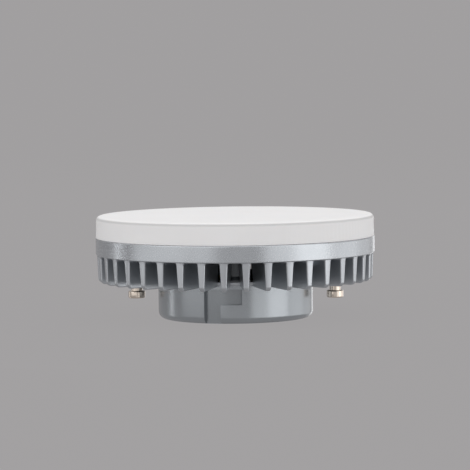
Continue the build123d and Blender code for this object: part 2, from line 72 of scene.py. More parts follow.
class Element(Enum):
    """Mesh element that an edit acts on, with Blender's select mode flags."""

    VERTEX = (True, False, False)
    EDGE = (False, True, False)
    FACE = (False, False, True)


class Joining(Enum):
    """How a tool solid acts on a workpiece."""

    WELD = "UNION"
    CUT = "DIFFERENCE"


class Hand(Enum):
    """Side of the lamp a pin stands on, with its turn about the axis in degrees."""

    RIGHT = 0
    LEFT = 180


def free_bench() -> None:
    """Leaves edit mode and deselects every object."""
    active = bpy.context.view_layer.objects.active
    if active is not None and active.mode != "OBJECT":
        bpy.ops.object.mode_set(mode="OBJECT")
    bpy.ops.object.select_all(action="DESELECT")


def take(piece: Piece) -> None:
    """Makes a piece the only selected and the active object.

    Args:
        piece: the object to work on.
    """
    free_bench()
    piece.select_set(True)
    bpy.context.view_layer.objects.active = piece


def adopt(name: str) -> Piece:
    """Names the primitive just added and puts its place into its mesh.

    Args:
        name: name for the object and its mesh.

    Returns:
        The object, at the origin and the only one selected.
    """
    piece = bpy.context.view_layer.objects.active
    piece.name = name
    piece.data.name = name
    take(piece)
    bpy.ops.object.transform_apply(location=True, rotation=True, scale=True)
    return piece


def pick(piece: Piece, element: Element, test: Callable[..., bool]) -> int:
    """Opens a piece in edit mode with the elements selected that pass a test.

    Args:
        piece: the object to edit.
        element: what is selected.
        test: gets a vertex's place, an edge's two ends, or a face's centre and normal.

    Returns:
        How many elements are selected.
    """
    take(piece)
    mesh = piece.data
    for group in (mesh.vertices, mesh.edges, mesh.polygons):
        group.foreach_set("select", [False] * len(group))
    places = [vertex.co for vertex in mesh.vertices]
    group, tested = {
        Element.VERTEX: (mesh.vertices, lambda item: (item.co,)),
        Element.EDGE: (mesh.edges, lambda item: [places[end] for end in item.vertices]),
        Element.FACE: (mesh.polygons, lambda item: (item.center, item.normal)),
    }[element]
    chosen = 0
    for item in group:
        item.select = test(*tested(item))
        chosen += item.select
    bpy.context.tool_settings.mesh_select_mode = element.value
    bpy.ops.object.mode_set(mode="EDIT")
    return chosen


def pick_all(piece: Piece) -> None:
    """Opens a piece in edit mode with all of it selected.

    Args:
        piece: the object to edit.
    """
    take(piece)
    bpy.context.tool_settings.mesh_select_mode = Element.VERTEX.value
    bpy.ops.object.mode_set(mode="EDIT")
    bpy.ops.mesh.select_all(action="SELECT")


def turn(name: str, outline: list[tuple[float, float]], steps: int, sweep: float = tau,
         start: float = 0.0) -> Piece:
    """Turns an outline about Z into a closed solid, as on a lathe.

    Args:
        name: name of the new piece.
        outline: points of radius and height. With both ends on the axis it stays open there.
        steps: steps of the turn.
        sweep: angle turned through; less than a full turn gets a face at each end.
        start: angle at which a part turn begins.

    Returns:
        The turned piece, at the origin.
    """
    full = sweep >= tau - TINY
    on_axis = outline[0][0] == 0 and outline[-1][0] == 0
    first = outline[0]
    free_bench()
    bpy.ops.mesh.primitive_plane_add(size=MM, location=(first[0], 0, first[1]))
    piece = adopt(name)
    pick_all(piece)
    bpy.ops.mesh.merge(type="CENTER")
    points = outline if on_axis else outline + [first]
    for before, after in zip(points, points[1:]):
        step = (after[0] - before[0], 0, after[1] - before[1])
        bpy.ops.mesh.extrude_vertices_move(TRANSFORM_OT_translate={"value": step})
    bpy.ops.mesh.select_all(action="SELECT")
    bpy.ops.mesh.remove_doubles(threshold=TINY / 10)
    if not full:
        bpy.ops.mesh.edge_face_add()
    bpy.ops.mesh.spin(steps=steps, angle=sweep, center=(0, 0, 0), axis=(0, 0, 1))
    bpy.ops.mesh.select_all(action="SELECT")
    bpy.ops.mesh.remove_doubles(threshold=TINY / 10)
    bpy.ops.mesh.normals_make_consistent(inside=False)
    bpy.ops.object.mode_set(mode="OBJECT")
    if not full:
        lowest = min(vertex_angle(vertex.co) for vertex in piece.data.vertices)
        swing(piece, start - lowest)
    return piece


def vertex_angle(place: Vector) -> float:
    """Angle of a place about the axis from +X, between -pi and pi."""
    return Vector((1, 0)).angle_signed(place.xy, 0) * -1


def bar(name: str, low: tuple[float, float, float], high: tuple[float, float, float]) -> Piece:
    """Rough block between two corners, for shaping or as a tool.

    Args:
        name: name of the new piece.
        low: lowest corner.
        high: highest corner.

    Returns:
        The block, at the origin.
    """
    centre = [(a + b) / 2 for a, b in zip(low, high)]
    free_bench()
    bpy.ops.mesh.primitive_cube_add(size=1, location=centre, scale=[b - a for a, b in zip(low, high)])
    return adopt(name)


def peg(name: str, x: float, y: float, radius: float, low: float, high: float,
        steps: int = 64) -> Piece:
    """Rough upright round bar, for shaping or as a tool.

    Args:
        name: name of the new piece.
        x: place of its axis.
        y: place of its axis.
        radius: its radius.
        low: level of its lower end.
        high: level of its upper end.
        steps: sides of the circle.

    Returns:
        The bar, at the origin.
    """
    free_bench()
    bpy.ops.mesh.primitive_cylinder_add(vertices=steps, radius=radius, depth=high - low,
                                        location=(x, y, (low + high) / 2))
    return adopt(name)


def swing(piece: Piece, angle: float) -> Piece:
    """Turns a piece's mesh about the lamp's axis and returns the piece."""
    piece.data.transform(Matrix.Rotation(angle, 4, "Z"))
    return piece


def round_edges(piece: Piece, test: Callable[[Vector, Vector], bool], size: float, steps: int,
                clamp: bool = False) -> None:
    """Rounds the edges that pass a test.

    Args:
        piece: the object to edit.
        test: gets an edge's two ends.
        size: radius of the rounding.
        steps: faces across the rounding.
        clamp: whether a rounding stops where it meets another.
    """
    if pick(piece, Element.EDGE, test):
        bpy.ops.mesh.bevel(offset=size, offset_type="OFFSET", segments=steps, affect="EDGES",
                           clamp_overlap=clamp)
    bpy.ops.object.mode_set(mode="OBJECT")


def round_circle(piece: Piece, radius: float, level: float, size: float, steps: int) -> None:
    """Rounds a sharp circle of a turned piece.

    Args:
        piece: the turned piece.
        radius: the circle's radius.
        level: the circle's height.
        size: radius of the rounding.
        steps: faces across the rounding.
    """
    def lies_on(place: Vector) -> bool:
        """Whether a place lies on the circle."""
        return abs(place.xy.length - radius) < TINY and abs(place.z - level) < TINY

    round_edges(piece, lambda a, b: lies_on(a) and lies_on(b), size, steps)


def scale_where(piece: Piece, test: Callable[[Vector], bool], factor: tuple[float, float, float]) -> None:
    """Scales a piece about the origin where a test holds.

    Args:
        piece: the object to edit.
        test: gets a vertex's place.
        factor: the scale along X, Y and Z.
    """
    if pick(piece, Element.VERTEX, test):
        bpy.ops.transform.resize(value=factor, center_override=(0, 0, 0))
    bpy.ops.object.mode_set(mode="OBJECT")


def work(piece: Piece, tool: Piece, joining: Joining) -> None:
    """Welds a tool solid to a piece or cuts the piece with it, and uses the tool up.

    Args:
        piece: the workpiece.
        tool: the solid that acts on it.
        joining: what it does there.
    """
    take(piece)
    modifier = piece.modifiers.new(joining.name, "BOOLEAN")
    modifier.operation = joining.value
    modifier.solver = "EXACT"
    modifier.object = tool
    bpy.ops.object.modifier_apply(modifier=modifier.name)
    bpy.data.objects.remove(tool)


def rounded_bar(name: str, start: float, end: float, half: float, low: float, high: float) -> Piece:
    """Rough block along +X with a round end, for shaping or as a tool.

    Args:
        name: name of the new piece.
        start: where it starts.
        end: centre of its round end.
        half: half its width.
        low: level of its underside.
        high: level of its top.

    Returns:
        The block, at the origin.
    """
    block = bar(name, (start, -half, low), (end, half, high))
    work(block, peg(f"{name}_end", end, 0, half, low, high), Joining.WELD)
    return block


def ring_part(name: str, inner: float, outer: float, low: float, high: float, start: float, end: float,
              steps: int = 0) -> Piece:
    """Part of a ring between two angles.

    Args:
        name: name of the new piece.
        inner: inner radius.
        outer: outer radius.
        low: lower level.
        high: upper level.
        start: first angle in degrees from the front.
        end: last angle in degrees from the front.
        steps: steps of the turn; 0 gives one to each STEP_ANGLE.

    Returns:
        The part of a ring.
    """
    steps = steps or max(2, round((end - start) / STEP_ANGLE))
    return turn(name, [(inner, low), (outer, low), (outer, high), (inner, high)], steps,
                radians(end - start), radians(start - 90))


def turned_copy(piece: Piece, angle: float, name: str) -> Piece:
    """Copies a piece, with its own mesh, turned about the lamp's axis.

    Args:
        piece: the pattern.
        angle: the turn in radians.
        name: name of the copy.

    Returns:
        The copy.
    """
    copy = piece.copy()
    copy.data = piece.data.copy()
    copy.name = name
    copy.data.name = name
    bpy.context.scene.collection.objects.link(copy)
    return swing(copy, angle)


def join(pieces: Iterable[Piece], name: str) -> Piece:
    """Joins pieces into one object.

    Args:
        pieces: the objects, of which the first is kept.
        name: name of the result.

    Returns:
        The joined object.
    """
    pieces = list(pieces)
    take(pieces[0])
    for piece in pieces:
        piece.select_set(True)
    bpy.ops.object.join()
    pieces[0].name = name
    pieces[0].data.name = name
    return pieces[0]


def soften(piece: Piece, angle: float = 32.0) -> None:
    """Shades a piece smooth across blunt edges, with its large faces kept flat.

    Args:
        piece: the object to shade.
        angle: the sharpest edge that still shades smooth.
    """
    take(piece)
    bpy.ops.object.shade_smooth_by_angle(angle=radians(angle))
    weighted = piece.modifiers.new("flat_faces", "WEIGHTED_NORMAL")
    weighted.keep_sharp = True
    weighted.weight = FLAT_FACE_WEIGHT
    bpy.ops.object.modifier_apply(modifier=weighted.name)


@dataclass(frozen=True)
class Graph:
    """A material's node tree, to which nodes are added with their inputs."""

    tree: bpy.types.NodeTree

    def feed(self, node: bpy.types.Node, inputs: Feeds) -> None:
        """Fills a node's inputs.

        Args:
            node: the node.
            inputs: for each input, the socket that is linked to it or its value.
        """
        for name, value in inputs.items():
            if isinstance(value, Socket):
                self.tree.links.new(value, node.inputs[name])
            else:
                node.inputs[name].default_value = value

    def add(self, kind: str, inputs: Feeds, operation: str = "") -> bpy.types.Node:
        """Adds a node.

        Args:
            kind: the node's type, without its prefix.
            inputs: for each input, the socket that is linked to it or its value.
            operation: what a node for sums does, or nothing to leave it as it comes.

        Returns:
            The node.
        """
        node = self.tree.nodes.new(f"ShaderNode{kind}")
        if operation:
            node.operation = operation
        self.feed(node, inputs)
        return node

    def noise(self, place: Socket, size: float, detail: float) -> Socket:
        """Noise with features of a size in metres and some octaves of detail."""
        return self.add("TexNoise", {"Vector": place, "Scale": 1 / size, "Detail": detail}).outputs["Fac"]

    def level(self, vector: Socket) -> Socket:
        """Upward part of a vector."""
        return self.add("SeparateXYZ", {"Vector": vector}).outputs["Z"]

    def multiply(self, base: Socket, factor: Socket) -> Socket:
        """Product of a colour and another colour or a value."""
        return self.add("VectorMath", {0: base, 1: factor}, "MULTIPLY").outputs["Vector"]

    def span(self, value: Socket, low: float, high: float, below: float, above: float) -> Socket:
        """Maps a range of values to another.

        Args:
            value: what is mapped.
            low: where the range starts.
            high: where the range ends.
            below: result at its start and below.
            above: result at its end and above.

        Returns:
            The result.
        """
        return self.add("MapRange", {"Value": value, "From Min": low, "From Max": high, "To Min": below,
                                     "To Max": above}).outputs["Result"]

    def ramp(self, value: Socket, stops: dict[float, Colour], blending: str = "LINEAR") -> Socket:
        """Maps a value to colours.

        Args:
            value: what is mapped.
            stops: the colour at each position, in rising order.
            blending: how one colour runs into the next.

        Returns:
            The colour.
        """
        node = self.add("ValToRGB", {"Fac": value})
        node.color_ramp.interpolation = blending
        elements = node.color_ramp.elements
        places = list(stops)
        elements[0].position, elements[1].position = places[0], places[-1]
        for between in places[1:-1]:
            elements.new(between)
        for element, colour in zip(elements, stops.values()):
            element.color = (*colour, 1)
        return node.outputs["Color"]

    def overlay(self, base: Socket, colour: Colour, share: Socket) -> Socket:
        """Lays a colour over another.

        Args:
            base: the colour beneath.
            colour: the colour on top.
            share: how much of it shows.

        Returns:
            The mixed colour.
        """
        mix = self.add("Mix", {})
        mix.data_type = "RGBA"
        self.feed(mix, {"Factor": share, "A": base, "B": (*colour, 1)})
        return mix.outputs["Result"]


@dataclass(frozen=True)
class Finish:
    """Surface of a piece: colour, gloss and a fine grain, all from noise on Object coordinates.

    Attributes:
        name: name of the material.
        colour: linear red, green and blue.
        mottle: share by which the colour varies.
        roughness: middle of the roughness.
        roughness_spread: how far the roughness varies to each side.
        grain: size of the grain's bumps in metres.
        relief: height of the bumps in metres.
        metallic: share of metal.
        subsurface: share of light that scatters under the surface.
        coat: share of clear lacquer.
        blotch: size of the colour's mottles, in grains.
    """

    name: str
    colour: Colour
    mottle: float = 0.06
    roughness: float = 0.45
    roughness_spread: float = 0.05
    grain: float = 0.3 * MM
    relief: float = 0.01 * MM
    metallic: float = 0.0
    subsurface: float = 0.0
    coat: float = 0.0
    blotch: float = 40

    def material(self) -> bpy.types.Material:
        """Builds the material.

        Returns:
            The new material, with its nodes.
        """
        material = bpy.data.materials.new(self.name)
        material.use_nodes = True
        graph = Graph(material.node_tree)
        place = graph.add("TexCoord", {}).outputs["Object"]
        broad = graph.noise(place, self.blotch * self.grain, 3)
        dark = tuple(c * (1 - self.mottle) for c in self.colour)
        light = tuple(min(c * (1 + self.mottle), 1) for c in self.colour)
        base = graph.ramp(broad, {0.3: dark, 0.7: light})
        fine = graph.noise(place, self.grain, 4)
        gloss = graph.span(fine, 0, 1, self.roughness - self.roughness_spread,
                           self.roughness + self.roughness_spread)
        bump = graph.add("Bump", {"Strength": 1.0, "Distance": self.relief, "Height": fine})
        graph.feed(graph.tree.nodes["Principled BSDF"], {
            "Base Color": self.pattern(graph, place, base), "Roughness": self.polish(graph, place, gloss),
            "Normal": bump.outputs["Normal"], "Metallic": self.metallic,
            "Subsurface Weight": self.subsurface, "Subsurface Radius": (1.0, 0.9, 0.8),
            "Subsurface Scale": 1.5 * MM, "Coat Weight": self.coat, "Coat Roughness": 0.2})
        return material

    def pattern(self, graph: Graph, place: Socket, base: Socket) -> Socket:
        """Lays a finish's own pattern over its colour; a plain finish has none.

        Args:
            graph: the material's node tree.
            place: the coordinates.
            base: the mottled colour.

        Returns:
            The colour to use.
        """
        return base

    def polish(self, graph: Graph, place: Socket, gloss: Socket) -> Socket:
        """Changes the roughness from place to place; a plain finish is the same all over.

        Args:
            graph: the material's node tree.
            place: the coordinates.
            gloss: the roughness of the grain.

        Returns:
            The roughness to use.
        """
        return gloss


@dataclass(frozen=True)
class OpalFinish(Finish):
    """Opal plastic with painted shade: a darker band is painted round its rounded upper corner, where the
    wall bends.
    """

    # darkest share of the painted shade on the corner
    shade: float = 0.68
    corner_level: float = 26.7 * MM
    corner_half: float = 0.5 * MM
    shade_from: float = 0.2  # shares of the corner's band, from below
    shade_most: float = 0.5
    shade_to: float = 0.72

    def pattern(self, graph: Graph, place: Socket, base: Socket) -> Socket:
        """Paints shade into a band round the corner's level; see Finish.pattern for Args and Returns."""
        band = graph.span(graph.level(place), self.corner_level - 2 * self.corner_half,
                          self.corner_level + 2 * self.corner_half, 0, 1)
        stops = {self.shade_from: WHITE, self.shade_most: (self.shade,) * 3, self.shade_to: WHITE}
        return graph.multiply(base, graph.ramp(band, stops, "EASE"))


@dataclass(frozen=True)
class HousingFinish(Finish):
    """Lacquered moulding with painted shade: darker in its recesses, and much darker inside the casting
    above the hub's lower end.
    """

    # painted shade in the recesses, where the fins shade the boss
    recess_shade: float = 0.80
    # painted shade inside the casting, above the hub's lower end
    inside_shade: float = 0.25
    recess_shade_radius: float = 20.0 * MM
    inside_shade_level: float = 10.0 * MM
    face_level: float = 0.3 * MM
    fade: float = 0.1 * MM

    def pattern(self, graph: Graph, place: Socket, base: Socket) -> Socket:
        """Paints shade by distance from the axis and by level; see Finish.pattern for Args and Returns."""
        level = graph.level(place)
        flat = graph.add("VectorMath", {0: place, 1: (1, 1, 0)}, "MULTIPLY").outputs["Vector"]
        radius = graph.add("VectorMath", {0: flat}, "LENGTH").outputs["Value"]
        # painted shade inside the recess radius, kept off the lower end face
        recess_shade = graph.span(radius, self.recess_shade_radius - self.fade, self.recess_shade_radius, self.recess_shade, 1)
        end_face = graph.span(level, self.face_level - self.fade, self.face_level, 1, 0)
        # painted shade over all of the housing above the hub's lower end
        inside_shade = graph.span(level, self.inside_shade_level - self.fade, self.inside_shade_level, 1, self.inside_shade)
        outside = graph.add("Math", {0: recess_shade, 1: end_face}, "MAXIMUM").outputs["Value"]
        return graph.multiply(graph.multiply(base, outside), inside_shade)


@dataclass(frozen=True)
class CastFinish(Finish):
    """Lacquered casting: its ring band is turned smooth, and below it the skin stays as cast."""

    as_cast: float = 0.07
    turned_level: float = 20.0 * MM
    fade: float = 0.2 * MM

    def polish(self, graph: Graph, place: Socket, gloss: Socket) -> Socket:
        """Makes the skin below the turned band rougher; see Finish.polish for Args and Returns."""
        skin = graph.span(graph.level(place), self.turned_level - self.fade, self.turned_level,
                          self.as_cast, 0)
        return graph.add("Math", {0: gloss, 1: skin}, "ADD").outputs["Value"]


@dataclass(frozen=True)
class EmitterFinish(Finish):
    """White package whose upward window is filled with yellow phosphor."""

    phosphor: Colour = (0.90, 0.62, 0.10)

    def pattern(self, graph: Graph, place: Socket, base: Socket) -> Socket:
        """Colours what faces up as phosphor; see Finish.pattern for Args and Returns."""
        facing = graph.level(graph.add("NewGeometry", {}).outputs["Normal"])
        return graph.overlay(base, self.phosphor, graph.ramp(facing, {0.6: BLACK, 0.8: WHITE}))


@dataclass(frozen=True)
class LaminateFinish(Finish):
    """Circuit board: tracks of lighter mask run over the laminate."""

    track: Colour = (0.03, 0.20, 0.07)
    track_pitch: float = 3.2 * MM

    def pattern(self, graph: Graph, place: Socket, base: Socket) -> Socket:
        """Draws the tracks as cells of a stretched pattern; see Finish.pattern for Args and Returns."""
        cells = graph.add("TexVoronoi", {"Vector": place, "Scale": 1 / self.track_pitch})
        cells.distance = "MANHATTAN"
        edge = graph.ramp(cells.outputs["Distance"], {0.42: BLACK, 0.46: WHITE})
        return graph.overlay(base, self.track, edge)


OPAL = OpalFinish("opal_polycarbonate", (0.83, 0.83, 0.83), mottle=0.012, roughness=0.60, relief=0.002 * MM,
              grain=0.5 * MM, subsurface=0.15)
CAST = CastFinish("cast_aluminium_lacquer", (0.50, 0.525, 0.55), mottle=0.05, roughness=0.26,
                  roughness_spread=0.05, grain=0.30 * MM, relief=0.016 * MM, metallic=0.9)
MOULDED = HousingFinish("grey_moulded_base", (0.375, 0.40, 0.42), mottle=0.03, roughness=0.24,
                        roughness_spread=0.02, grain=0.4 * MM, relief=0.004 * MM, metallic=0.75)
PLATED = Finish("nickel_plated_pin", (0.78, 0.69, 0.60), mottle=0.05, roughness=0.14, roughness_spread=0.05,
                grain=0.15 * MM, relief=0.004 * MM, metallic=1.0)


@dataclass(frozen=True)
class LampSizes:
    """Levels and radii that the pieces share, in metres.

    Attributes:
        boss: radius of the round boss.
        ring: outer radius of the ring band.
        cap: radius of the opal cap at its base.
        pin_circle: distance of the pins from the axis.
        fin_level: the fins' lower plane.
        rim_level: top of the ring band.
        top_level: top of the cap.
        skirt_level: lower end of the cap's skirt.
        housing_top: top of the base housing.
        ring_height: height of the ring band.
        web: thickness of the web.
        ring_wall: thickness of the ring band above the web.
        hub_lift: how far the hub ends above the fins' lower plane.
        spigot_step: width of the boss's shoulder.
        hub_gap: play between the housing and the hub.
        hub_wall: thickness of the hub tube.
    """

    boss: float
    ring: float
    cap: float
    pin_circle: float
    fin_level: float
    rim_level: float
    top_level: float
    skirt_level: float
    housing_top: float
    ring_height: float = 4.4 * MM
    web: float = 2.1 * MM
    ring_wall: float = 1.25 * MM
    hub_lift: float = 0.4 * MM
    spigot_step: float = 0.4 * MM
    hub_gap: float = 0.2 * MM
    hub_wall: float = 1.6 * MM

    @classmethod
    def from_frame(cls) -> "LampSizes":
        """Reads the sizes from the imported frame.

        Returns:
            The sizes.
        """
        mounts = {mount["name"]: mount for mount in frame["record"]["mounts"]}
        return cls(
            boss=mounts["boss_collar"]["dims"]["r_mm"] * MM,
            ring=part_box("heat_sink")[1].x,
            cap=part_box("diffuser")[1].x,
            pin_circle=mounts["contact_pin_right"]["pos_m"][0],
            fin_level=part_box("heat_sink")[0].z,
            rim_level=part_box("heat_sink")[1].z,
            top_level=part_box("diffuser")[1].z,
            skirt_level=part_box("diffuser")[0].z,
            housing_top=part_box("base_housing")[1].z,
        )

    @property
    def ring_level(self) -> float:
        """Underside of the ring band and the web."""
        return self.rim_level - self.ring_height

    @property
    def hub_level(self) -> float:
        """Lower end of the hub tube, where the boss has its shoulder."""
        return self.fin_level + self.hub_lift

    @property
    def spigot(self) -> float:
        """Radius of the housing inside the hub."""
        return self.boss - self.spigot_step

    @property
    def hub_bore(self) -> float:
        """Inner radius of the hub tube."""
        return self.spigot + self.hub_gap

    @property
    def hub_outer(self) -> float:
        """Outer radius of the hub tube."""
        return self.hub_bore + self.hub_wall

    @property
    def rim(self) -> float:
        """Inner radius of the ring band above the web."""
        return self.ring - self.ring_wall


@dataclass
class OpalCap:
    """Frosted cap with a rounded upper corner and fine upright flutes on its side."""

    sizes: LampSizes
    wall: float = 1.3 * MM
    taper: float = 0.15 * MM
    corner: float = 1.0 * MM
    edge: float = 0.2 * MM
    skirt_gap: float = 0.2 * MM
    skirt_wall: float = 1.2 * MM
    flutes: int = 160
    flute_depth: float = 0.035 * MM

    def build(self) -> Piece:
        """Turns the cap, rounds its edges and presses the flutes in.

        Returns:
            The cap.
        """
        s = self.sizes
        skirt = s.rim - self.skirt_gap
        crown = s.cap - self.taper
        cap = turn("opal_cap", [
            (0, s.top_level), (crown, s.top_level), (s.cap, s.rim_level), (skirt, s.rim_level),
            (skirt, s.skirt_level), (skirt - self.skirt_wall, s.skirt_level),
            (crown - self.wall, s.top_level - self.wall), (0, s.top_level - self.wall)], 4 * self.flutes)
        round_circle(cap, crown, s.top_level, self.corner, 8)
        round_circle(cap, s.cap, s.rim_level, self.edge, 3)
        self.press_flutes(cap)
        soften(cap, 25)
        return cap

    def press_flutes(self, cap: Piece) -> None:
        """Draws every fourth upright line of the side in, and the two beside it half as far.

        Args:
            cap: the turned cap.
        """
        s = self.sizes
        pitch = tau / self.flutes
        for offset, share in ((0.5, 1.0), (0.25, 0.5), (0.75, 0.5)):
            def in_groove(place: Vector) -> bool:
                """Whether a place lies on this line of a flute, on the upright side."""
                turns = (vertex_angle(place) / pitch) % 1
                upright = s.rim_level + 1.5 * self.edge < place.z < s.top_level - 0.9 * self.corner
                return upright and place.xy.length > s.rim and abs(turns - offset) < 0.05

            factor = 1 - share * self.flute_depth / s.cap
            scale_where(cap, in_groove, (factor, factor, 1))


@dataclass
class HeatSink:
    """Finned die casting: ring band, web, hub tube, screw bosses and forty drafted fins."""

    sizes: LampSizes
    fins: int = 40
    setback: float = 0.35 * MM
    draft_in: float = 0.3 * MM
    root_outer: float = 2.2 * MM
    root_inner: float = 1.6 * MM
    tip_outer: float = 1.35 * MM
    tip_inner: float = 1.0 * MM
    sunk_in: float = 0.4 * MM  # a fin's root in the hub
    sunk_up: float = 0.5 * MM  # a fin's root in the web
    corner: float = 1.2 * MM
    edge: float = 0.42 * MM
    sideways: float = 0.9  # a fin's two sides face this far across it, its other faces less
    root_flare: float = 0.35 * MM
    flare_steps: tuple[tuple[float, float], ...] = (  # distance below the web, share of the flare
        (0.75 * MM, 0.0), (0.4 * MM, 0.12), (0.15 * MM, 0.4), (0.0, 1.0))
    ring_edge: float = 0.3 * MM
    screws: int = 4
    screw_bearing: float = 40.5  # degrees from +X to the first screw
    screw_circle: float = 28.5 * MM
    screw_boss: float = 2.4 * MM
    screw_boss_height: float = 1.8 * MM
    screw_hole: float = 1.25 * MM
    cable_hole: float = 3.0 * MM
    cable_hole_y: float = 7.0 * MM
    pocket_half: float = 3.3 * MM
    window_half: float = 13.5  # degrees to each side of the window's middle
    window_middle: float = 4.5
    window_height: float = 5.0 * MM
    window_steps: int = 12
    sill: float = 0.8 * MM

    def build(self) -> Piece:
        """Casts the body, welds the fins on and cuts pockets, windows and holes.

        Returns:
            The casting.
        """
        s = self.sizes
        web_level = s.ring_level + s.web
        body = turn("heat_sink_casting", [
            (0, s.ring_level), (s.hub_bore, s.ring_level), (s.hub_bore, s.hub_level),
            (s.hub_outer, s.hub_level), (s.hub_outer, s.ring_level), (s.ring, s.ring_level),
            (s.ring, s.rim_level), (s.rim, s.rim_level), (s.rim, web_level), (0, web_level)], ROUND)
        round_circle(body, s.ring, s.ring_level, self.ring_edge, 4)
        round_circle(body, s.ring, s.rim_level, self.ring_edge, 4)
        round_circle(body, s.hub_outer, s.hub_level, self.ring_edge, 3)
        fin = self.make_fin()
        copies = [turned_copy(fin, radians(360 * index / self.fins), f"fin_{index}")
                  for index in range(self.fins)]
        bpy.data.objects.remove(fin)
        fins = join(copies, "fins")
        for side in SIDES:
            work(fins, swing(self.make_pocket(), side), Joining.CUT)
            work(body, swing(self.make_pocket(), side), Joining.CUT)
            work(body, swing(self.make_window(), side), Joining.CUT)
        work(body, fins, Joining.WELD)
        boss_level = s.ring_level - self.screw_boss_height
        for index in range(self.screws):
            angle = radians(self.screw_bearing + 360 / self.screws * index)
            x, y = self.screw_circle * cos(angle), self.screw_circle * sin(angle)
            work(body, peg("screw_boss", x, y, self.screw_boss, boss_level, s.ring_level + s.web / 2, 48),
                 Joining.WELD)
            work(body, peg("tapped_hole", x, y, self.screw_hole, boss_level - MM, web_level + MM, 32),
                 Joining.CUT)
        work(body, peg("cable_hole", 0, self.cable_hole_y, self.cable_hole, s.ring_level - MM,
                       web_level + MM), Joining.CUT)
        soften(body, 28)
        return body

    def make_fin(self) -> Piece:
        """Shapes one fin along +X from a block.

        Returns:
            The fin, its root sunk a little into the web and the hub.
        """
        s = self.sizes
        inner, outer = s.hub_outer - self.sunk_in, s.ring - self.setback
        foot = s.fin_level + TINY
        fin = bar("fin", (inner, -self.root_inner / 2, s.fin_level),
                  (outer, self.root_inner / 2, s.ring_level + self.sunk_up))

        def at_tip(place: Vector) -> bool:
            """Whether a place is the fin's lower outer end."""
            return place.z < foot and place.x > outer - TINY

        scale_where(fin, lambda p: p.x > outer - TINY, (1, self.root_outer / self.root_inner, 1))
        scale_where(fin, lambda p: p.z < foot and p.x < inner + TINY,
                    (1, self.tip_inner / self.root_inner, 1))
        scale_where(fin, at_tip, (1, self.tip_outer / self.root_outer, 1))
        pick(fin, Element.VERTEX, at_tip)
        bpy.ops.transform.translate(value=(-self.draft_in, 0, 0))
        round_edges(fin, lambda a, b: max(a.z, b.z) < foot
                    and min(a.x, b.x) > outer - self.draft_in - TINY, self.corner, 6)
        self.round_outside(fin, inner)
        for below, flare in self.flare_steps:
            level = s.ring_level - below
            pick_all(fin)
            bpy.ops.mesh.bisect(plane_co=(0, 0, level), plane_no=(0, 0, 1))
            bpy.ops.object.mode_set(mode="OBJECT")
            scale_where(fin, lambda p: p.z > level - TINY if flare == 1.0 else abs(p.z - level) < TINY,
                        (1, 1 + 2 * flare * self.root_flare / self.root_outer, 1))
        return fin

    def round_outside(self, fin: Piece, inner: float) -> None:
        """Rounds the long edges round a fin's outer end, corner and lower plane.

        Args:
            fin: the fin with its corner already rounded.
            inner: where the fin starts in the hub.
        """
        sides = {}
        for face in fin.data.polygons:
            for key in face.edge_keys:
                sides.setdefault(key, []).append(abs(face.normal.y) > self.sideways)
        places = [vertex.co.copy() for vertex in fin.data.vertices]
        outside = set()
        for key, flat in sides.items():
            a, b = places[key[0]], places[key[1]]
            beyond = min(a.x, b.x) > inner + TINY
            lower = max(a.z, b.z) < self.sizes.ring_level and (beyond or abs(a.x - b.x) > TINY)
            upright = abs(a.z - b.z) > TINY and beyond
            if flat.count(True) == 1 and (lower or upright):
                outside.add(frozenset((tuple(a), tuple(b))))
        round_edges(fin, lambda a, b: frozenset((tuple(a), tuple(b))) in outside, self.edge, 3, clamp=True)

    def make_pocket(self) -> Piece:
        """Tool for the pocket on +X that a pin's arm lies in, clear of the web."""
        s = self.sizes
        return rounded_bar("pocket", s.hub_bore - MM, s.pin_circle, self.pocket_half, s.fin_level - MM,
                           s.ring_level)

    def make_window(self) -> Piece:
        """Tool for the front window in the hub, which a snap tongue hooks into."""
        s = self.sizes
        low = s.hub_level + self.sill
        return ring_part("snap_window", s.hub_bore - MM, s.hub_outer + self.setback, low,
                         low + self.window_height, self.window_middle - self.window_half,
                         self.window_middle + self.window_half, self.window_steps)


